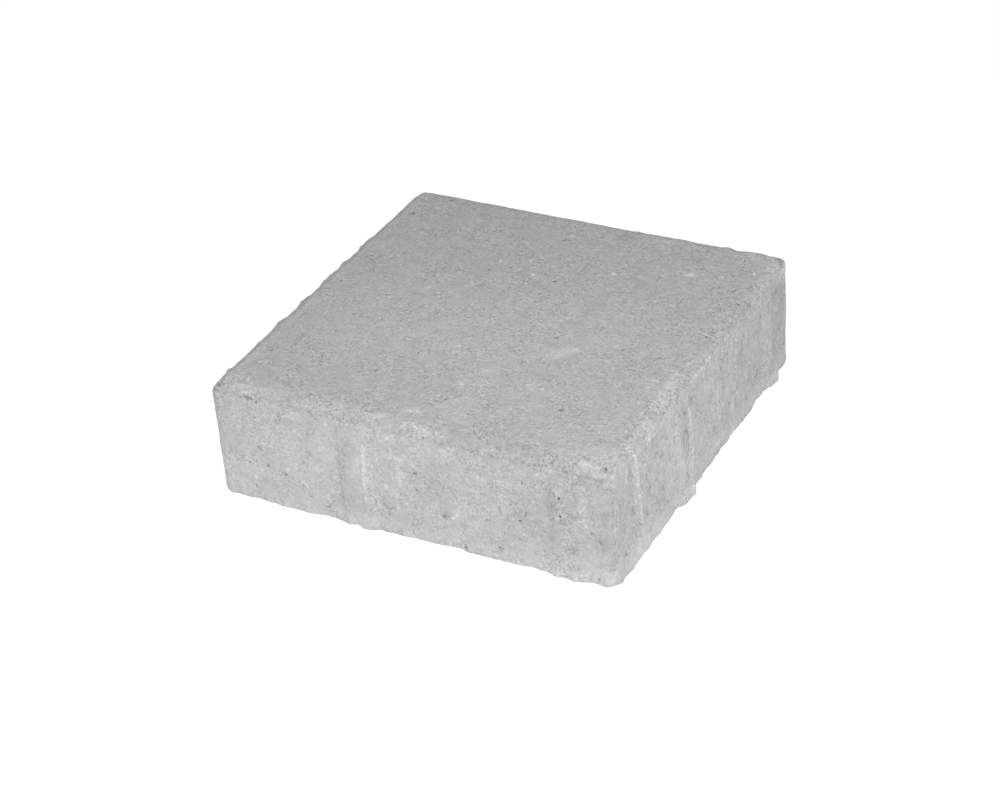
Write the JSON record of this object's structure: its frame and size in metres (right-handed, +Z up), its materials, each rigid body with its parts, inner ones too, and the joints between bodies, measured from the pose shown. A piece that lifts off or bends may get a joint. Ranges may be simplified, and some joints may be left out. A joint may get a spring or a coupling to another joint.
{
  "type": "concrete paving stone",
  "caption": "Square concrete paving stone with a chamfered top edge, rounded upright corners and upright spacer ribs on its sides.",
  "frame": {"origin": "middle of the underside, on the plane that the stone lies on", "axes": "+Z up, from the underside to the wearing face; X and Y across the block, square to its sides"},
  "size_m": [0.2068, 0.2068, 0.06],
  "materials": {
    "concrete": "matte"
  },
  "bodies": {
    "root": {"paving_stone": "concrete"}
  },
  "joints": []
}
